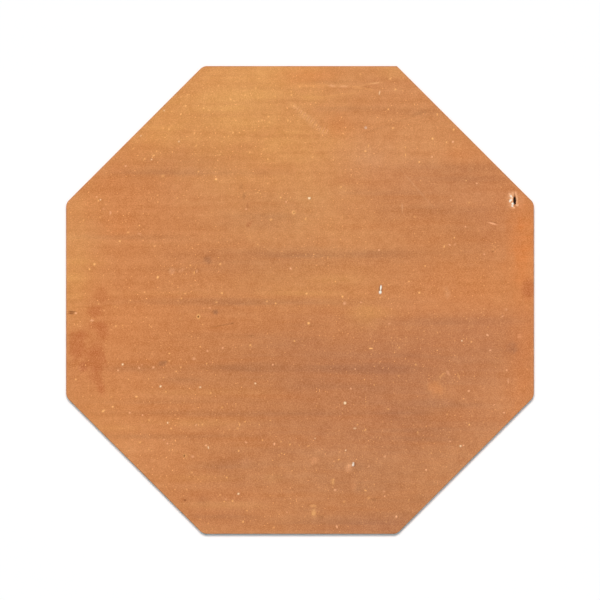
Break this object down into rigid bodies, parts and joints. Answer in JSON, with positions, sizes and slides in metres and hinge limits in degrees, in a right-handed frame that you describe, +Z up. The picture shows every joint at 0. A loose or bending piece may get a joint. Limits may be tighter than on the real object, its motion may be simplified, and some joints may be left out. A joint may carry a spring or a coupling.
{
  "type": "octagonal terracotta floor tile",
  "caption": "Regular octagonal slab of unglazed fired clay with rounded corners, flame-streaked face and a small blow hole, laid as a floor tile.",
  "frame": {"origin": "centre of the bedding face, the underside that lies on the floor", "axes": "+Z up out of the wear face; +X and +Y square to two pairs of flat sides, with the clay's flame streaks along X"},
  "size_m": [0.292, 0.292, 0.016],
  "materials": {
    "terracotta": "matte"
  },
  "bodies": {
    "root": {"terracotta_tile": "terracotta"}
  },
  "joints": []
}
